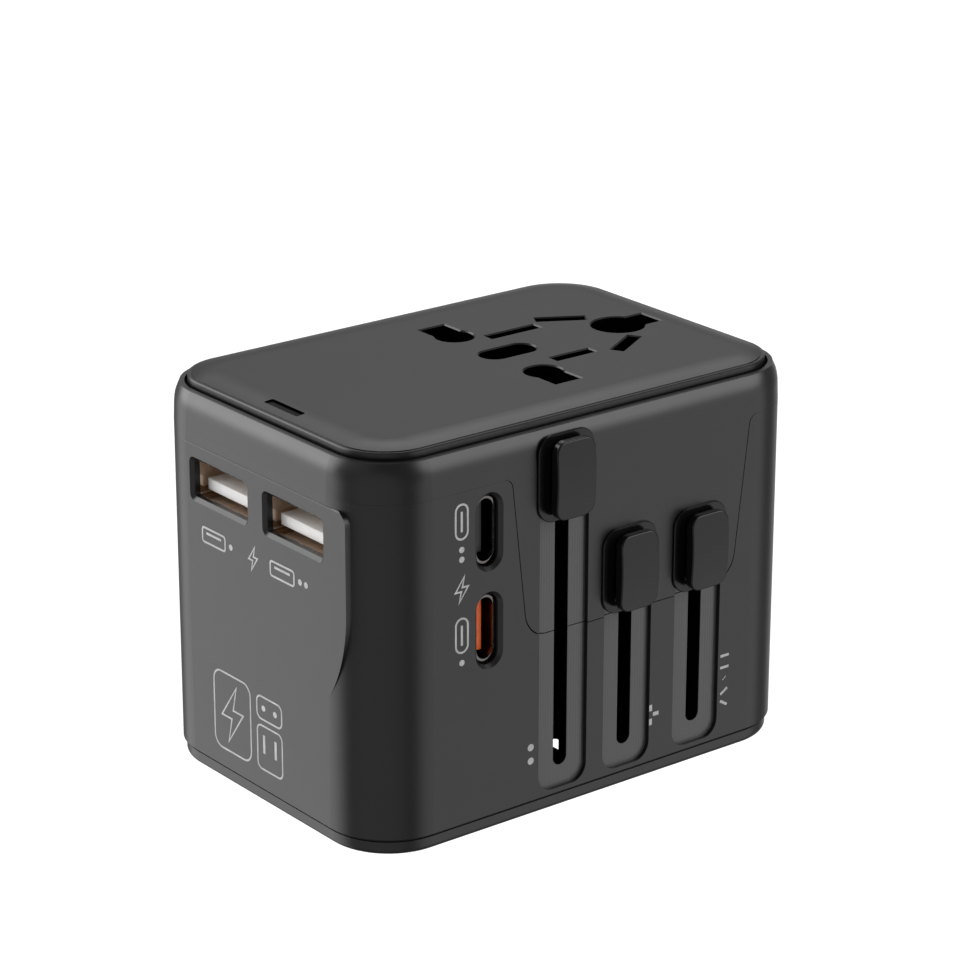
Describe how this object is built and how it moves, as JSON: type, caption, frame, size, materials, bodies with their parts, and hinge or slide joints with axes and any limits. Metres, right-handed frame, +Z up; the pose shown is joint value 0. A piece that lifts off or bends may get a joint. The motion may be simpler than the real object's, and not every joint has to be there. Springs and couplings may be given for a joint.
{
  "type": "universal travel adapter",
  "caption": "Dark universal travel adapter with a multi-standard socket face, sliding plug pins and charging ports.",
  "frame": {"origin": "under the middle of the overall box, sliders in, on the underside of the case", "axes": "+Z up out of the socket face, +X along the long side away from the rectangular charging ports, +Y away from the slider knobs"},
  "size_m": [0.072, 0.0522, 0.0541],
  "materials": {
    "shell_plastic": "fine spark texture",
    "plate_plastic": "fine spark texture",
    "knob_plastic": "semi-gloss",
    "inner_plastic": "as moulded",
    "window_plastic": "smoked, polished",
    "pin_metal": "nickel plated brass",
    "contact_brass": "stamped",
    "steel": "zinc plated",
    "port_metal": "folded strip",
    "tongue_white": "smooth",
    "tongue_orange": "smooth",
    "tongue_black": "smooth",
    "board": "solder mask",
    "ferrite": "sintered",
    "winding_tape": "wrapped tape",
    "can_sleeve": "shrunk sleeve",
    "chip_black": "moulded",
    "fuse_ceramic": "glazed",
    "fuse_metal": "plated"
  },
  "bodies": {
    "housing": {"base_plate": "shell_plastic", "lower_shell": "shell_plastic", "upper_shell": "shell_plastic", "socket_plate": "plate_plastic", "indicator_window": "window_plastic", "housing_screws": "steel", "guide_frame": "inner_plastic", "live_contact": "contact_brass", "neutral_contact": "contact_brass", "earth_contact": "contact_brass", "fuse_body": "fuse_ceramic", "fuse_caps": "fuse_metal", "charger_board": "board", "port_board": "board", "type_a_shell_front": "port_metal", "type_a_shell_rear": "port_metal", "type_a_tongue_front": "tongue_white", "type_a_tongue_rear": "tongue_white", "type_c_shell_upper": "port_metal", "type_c_shell_lower": "port_metal", "type_c_tongue_upper": "tongue_black", "type_c_tongue_lower": "tongue_orange", "transformer_core": "ferrite", "transformer_winding": "winding_tape", "input_capacitor": "can_sleeve", "output_capacitors": "can_sleeve", "choke": "ferrite", "bridge_rectifier": "chip_black"},
    "eu_slider": {"eu_carrier": "inner_plastic", "eu_pins": "pin_metal", "eu_pin_sleeves": "inner_plastic", "eu_knob": "knob_plastic", "eu_button_spring": "steel"},
    "eu_push": {"eu_button": "knob_plastic"},
    "uk_slider": {"uk_carrier": "inner_plastic", "uk_line_pins": "pin_metal", "uk_line_pin_sleeves": "inner_plastic", "uk_earth_pin": "pin_metal", "uk_knob": "knob_plastic", "uk_button_spring": "steel"},
    "uk_push": {"uk_button": "knob_plastic"},
    "us_slider": {"us_carrier": "inner_plastic", "us_knob": "knob_plastic", "us_button_spring": "steel"},
    "us_push": {"us_button": "knob_plastic"},
    "us_turn_front": {"us_blade_front": "pin_metal", "us_hub_front": "inner_plastic"},
    "us_turn_rear": {"us_blade_rear": "pin_metal", "us_hub_rear": "inner_plastic"}
  },
  "joints": [
    {"name": "eu_slide", "type": "slide", "parent": "housing", "child": "eu_slider", "axis": [0, 0, -1], "range_m": [0, 0.0368]},
    {"name": "uk_slide", "type": "slide", "parent": "housing", "child": "uk_slider", "axis": [0, 0, -1], "range_m": [0, 0.0218]},
    {"name": "us_slide", "type": "slide", "parent": "housing", "child": "us_slider", "axis": [0, 0, -1], "range_m": [0, 0.0218]},
    {"name": "eu_press", "type": "slide", "parent": "eu_slider", "child": "eu_push", "axis": [0, 1, 0], "range_m": [0, 0.00065], "stiffness_N_per_m": 400, "springref_m": -0.002, "deforming": ["eu_button_spring"]},
    {"name": "uk_press", "type": "slide", "parent": "uk_slider", "child": "uk_push", "axis": [0, 1, 0], "range_m": [0, 0.00065], "stiffness_N_per_m": 400, "springref_m": -0.002, "deforming": ["uk_button_spring"]},
    {"name": "us_press", "type": "slide", "parent": "us_slider", "child": "us_push", "axis": [0, 1, 0], "range_m": [0, 0.00065], "stiffness_N_per_m": 400, "springref_m": -0.002, "deforming": ["us_button_spring"]},
    {"name": "us_blade_front_turn", "type": "hinge", "parent": "us_slider", "child": "us_turn_front", "pos_m": [0.01825, -0.0051, 0.0244], "axis": [0, 0, 1], "range_deg": [0, 30]},
    {"name": "us_blade_rear_turn", "type": "hinge", "parent": "us_slider", "child": "us_turn_rear", "pos_m": [0.01825, 0.0076, 0.0244], "axis": [0, 0, 1], "range_deg": [-30, 0]}
  ]
}
